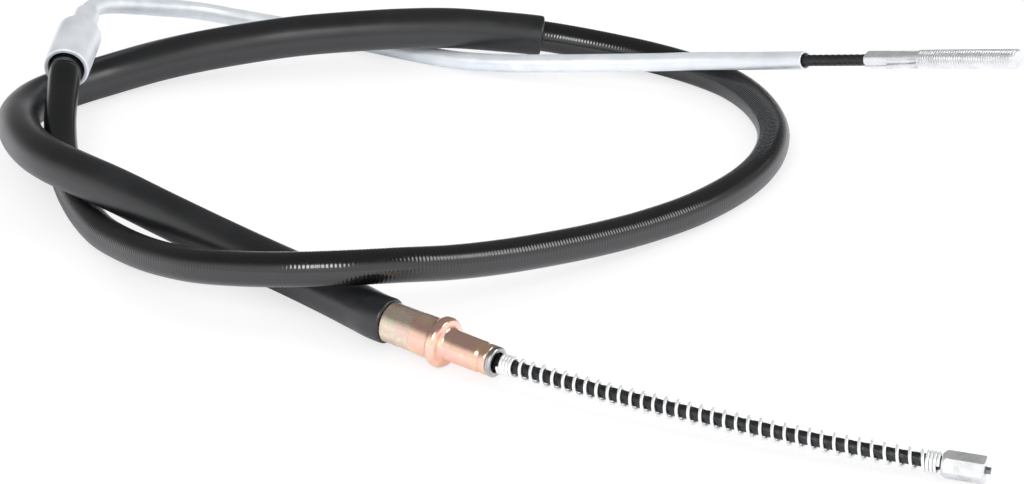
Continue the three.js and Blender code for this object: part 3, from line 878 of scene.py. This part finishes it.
def make_cup():
    """Stepped pipe: wide cup, short cone and narrow neck."""
    inner = CUP_R - CUP_WALL
    neck = TUBE_R + 0.00035
    rows = [
        (inner + 0.0003, 0.0),
        (CUP_R - 0.0004, 0.0),
        (CUP_R, 0.0005),
        (CUP_R, 0.012),
        (CUP_R, CUP_LENGTH - 0.0012),
        (CUP_R - 0.0006, CUP_LENGTH),
        (CUP_NECK_R + 0.0004, CUP_LENGTH + CUP_TAPER - 0.0003),
        (CUP_NECK_R, CUP_LENGTH + CUP_TAPER + 0.0004),
        (CUP_NECK_R, CUP_LENGTH + CUP_NECK_LENGTH - 0.0004),
        (CUP_NECK_R - 0.0004, CUP_LENGTH + CUP_NECK_LENGTH),
        (neck, CUP_LENGTH + CUP_NECK_LENGTH),
        (neck, CUP_LENGTH),
        (inner, CUP_LENGTH - 0.003),
        (inner, 0.0005),
    ]
    piece = turned("stepped_cup", rounded(rows, 0.0004, 3), CUP_ORIGIN, CUP_AXIS, 72, 30)
    return dress(piece, finishes["tube_zinc"], "housing", "tube_zinc", "tube_ferrule")


def make_tube():
    """Drawn steel tube with a rounded outer end."""
    start = cup_mouth + CUP_LENGTH + CUP_NECK_LENGTH - TUBE_INSERT
    end = route.total
    body = np.linspace(start, end - 0.0006, 420)
    inner = TUBE_R - TUBE_WALL
    lining = np.arange(end - 0.0003, start, -INNER_STEP)
    stations = np.concatenate([body, [end - 0.0002, end, end], lining, [start]])
    lip = [TUBE_R - 0.0001, TUBE_R - 0.0003, inner + 0.0002]
    radii = np.concatenate([np.full(len(body), TUBE_R), lip, np.full(len(lining) + 1, inner)])
    piece = swept("bent_tube", route, stations, radii, 32)
    return dress(piece, finishes["tube_zinc"], "housing", "tube_zinc", "guide_tube")


def make_thread(origin):
    """Radius at (s, a) = r - depth * wave of (s / pitch - a / 2 pi), a true right-hand helix."""
    shank = STUD_HEX_LENGTH + STUD_SHANK_LENGTH
    start, end = shank, shank + THREAD_LENGTH
    heights = np.linspace(start, end, int(THREAD_LENGTH / THREAD_PITCH * 10))

    def ridges(height, angle, radius):
        wave = (height / THREAD_PITCH - angle / TAU) % 1.0
        tooth = np.clip(1.35 * (1 - np.abs(2 * wave - 1)) - 0.12, 0, 1)
        fade = smooth_step(height, start, start + 0.0014)
        fade = fade * (1 - 0.8 * smooth_step(height, end - 0.0012, end))
        cut = radius - THREAD_DEPTH * (1 - tooth) * fade
        return np.where(radius > 0.003, cut, radius)

    radii = np.full(len(heights), THREAD_R)
    radii = radii - 0.0009 * smooth_step(heights, end - 0.0011, end)
    socket, bore = COAT_R + 0.0003, CORE_R + 0.0003
    hex_rows = [
        (bore, 0.012),
        (bore, 0.003),
        (socket, 0.003),
        (socket, 0.0),
        (STUD_HEX_R - 0.0006, 0.0),
        (STUD_HEX_R - 0.0001, 0.0008),
        (STUD_HEX_R, 0.0014),
        (STUD_HEX_R, STUD_HEX_LENGTH * 0.5),
        (STUD_HEX_R, STUD_HEX_LENGTH - 0.0005),
        (STUD_SHANK_R, STUD_HEX_LENGTH + 0.0001),
        (STUD_SHANK_R, STUD_HEX_LENGTH + 0.006),
        (STUD_SHANK_R, shank - 0.0004),
    ]
    rows = [*hex_rows, *zip(radii, heights)]

    def shape(height, angle, radius):
        pitch = TAU / 6
        off = (angle + math.pi) % pitch - pitch / 2
        flat = STUD_HEX_R * 0.89 / np.cos(off)
        pressed = (radius > 0.0033) & (height > 0.0007) & (height < STUD_HEX_LENGTH - 0.0002)
        return ridges(height, angle, np.where(pressed, np.minimum(radius, flat), radius))

    piece = turned("threaded_stud", rows, origin, STUD_AXIS, 60, 40, shape, poles=True)
    return dress(piece, finishes["zinc"], "stud_end", "zinc", "adjuster_stud")


make_cup()
make_tube()
tube_end = route.at(route.total)
LINE_BACK = 0.05
LINE_AHEAD = 0.06
stud_line = Line(tube_end + np.linspace(-LINE_BACK, LINE_AHEAD, 400)[:, None] * STUD_AXIS)
stud_coat = cable_piece(
    "stud_cable",
    stud_line,
    LINE_BACK - TAIL_INSERT,
    LINE_BACK + EXPOSED + COAT_IN_SOCKET,
    COAT_R,
)
dress(stud_coat, finishes["coat"], "stud_end", "coat", "stud_cable_coat")
make_thread(tube_end + EXPOSED * STUD_AXIS)
stud_length = STUD_HEX_LENGTH + STUD_SHANK_LENGTH + THREAD_LENGTH
print("stud end at", (tube_end + (EXPOSED + stud_length) * STUD_AXIS).round(4).tolist())

# %% [markdown]
# ## Inner pieces
# The armour, the wire's hidden run and the cable cores keep their CAD shapes.

# %%
INNER = {
    "conduit_armour": "armour",
    "inner_cable_run": "coat",
    "brake_cable_core": "strand",
    "stud_cable_core": "strand",
}
for node_name, finish_name in INNER.items():
    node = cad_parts[node_name]
    node.data.materials.clear()
    node.data.materials.append(finishes[finish_name])
    node.data.shade_smooth()
    print("finish on", node_name)

# %% [markdown]
# ## Floor, light and surroundings
# The floor is white with a faint shadow. The surroundings are white too, but reflections see a
# dark patch overhead, which gives the black pieces their dark tops.

# %%
FLOOR_HALF = 6.0
EVEN_SHARE = 0.72
EVEN_STRENGTH = 1.02
PATCH_TOWARDS = (0.0, 0.45, 0.9)
PATCH_FROM = 0.05
PATCH_FULL = 0.6
PATCH_LEVEL = 0.16


def make_floor():
    """Plain floor. Camera rays get a share of even light, which keeps the shadow faint."""
    mesh = bpy.data.meshes.new("floor")
    s = FLOOR_HALF
    mesh.from_pydata([(-s, -s, 0), (s, -s, 0), (s, s, 0), (-s, s, 0)], [], [(0, 1, 2, 3)])
    floor = bpy.data.objects.new("floor", mesh)
    bpy.context.scene.collection.objects.link(floor)
    n = Nodes("floor_white")
    n.surface(Base_Color=linear("#f6f6f9"), Roughness=0.9, Specular_IOR_Level=0.0)
    tree = n.tree
    even = n.add("ShaderNodeEmission", {"Color": (1.0, 1.0, 1.0, 1.0), "Strength": EVEN_STRENGTH})
    path = n.add("ShaderNodeLightPath")
    share = n.math("MULTIPLY", path.outputs["Is Camera Ray"], EVEN_SHARE)
    blend = n.add("ShaderNodeMixShader", {0: share})
    tree.links.new(n.shader.outputs[0], blend.inputs[1])
    tree.links.new(even.outputs[0], blend.inputs[2])
    output = next(x for x in tree.nodes if x.type == "OUTPUT_MATERIAL")
    tree.links.new(blend.outputs[0], output.inputs["Surface"])
    mesh.materials.append(n.material)
    return floor


def make_world():
    """Even white. Reflections see a dark patch overhead and a little behind the object."""
    world = bpy.data.worlds.new("surroundings")
    bpy.context.scene.world = world
    world.use_nodes = True
    tree = world.node_tree
    tree.nodes.clear()

    def add(kind, **settings):
        node = tree.nodes.new(kind)
        for key, value in settings.items():
            setattr(node, key, value)
        return node

    place = add("ShaderNodeTexCoord")
    dot = add("ShaderNodeVectorMath", operation="DOT_PRODUCT")
    dot.inputs[1].default_value = tuple(unit(PATCH_TOWARDS))
    fade = add("ShaderNodeMapRange", interpolation_type="SMOOTHSTEP")
    fade.inputs["From Min"].default_value = PATCH_FROM
    fade.inputs["From Max"].default_value = PATCH_FULL
    fade.inputs["To Min"].default_value = 1.0
    fade.inputs["To Max"].default_value = PATCH_LEVEL
    path = add("ShaderNodeLightPath")
    level = add("ShaderNodeMix", data_type="FLOAT")
    level.inputs["A"].default_value = 1.0
    background = add("ShaderNodeBackground")
    output = add("ShaderNodeOutputWorld")
    link = tree.links.new
    link(place.outputs["Generated"], dot.inputs[0])
    link(dot.outputs["Value"], fade.inputs["Value"])
    link(fade.outputs["Result"], level.inputs["B"])
    link(path.outputs["Is Glossy Ray"], level.inputs["Factor"])
    link(level.outputs["Result"], background.inputs["Strength"])
    background.inputs["Color"].default_value = (1.0, 1.0, 1.0, 1.0)
    link(background.outputs[0], output.inputs["Surface"])
    return world


def make_light(name, place, target, size, power):
    """A soft square light of that size in metres, turned towards its target."""
    data = bpy.data.lights.new(name, "AREA")
    data.size = size
    data.energy = power
    light = bpy.data.objects.new(name, data)
    bpy.context.scene.collection.objects.link(light)
    light.location = place
    direction = np.asarray(target, float) - np.asarray(place, float)
    light.rotation_euler = Vector(direction).to_track_quat("-Z", "Y").to_euler()
    return light


make_floor()
make_world()
make_light("front_soft", (-0.5, -1.6, 1.3), (0.0, 0.0, 0.0), 0.7, 14.0)
make_light("right_soft", (1.6, -0.2, 1.2), (0.0, 0.0, 0.0), 0.8, 8.0)
scene = bpy.context.scene
scene.view_settings.view_transform = "Standard"
print("floor, surroundings and lights ready")
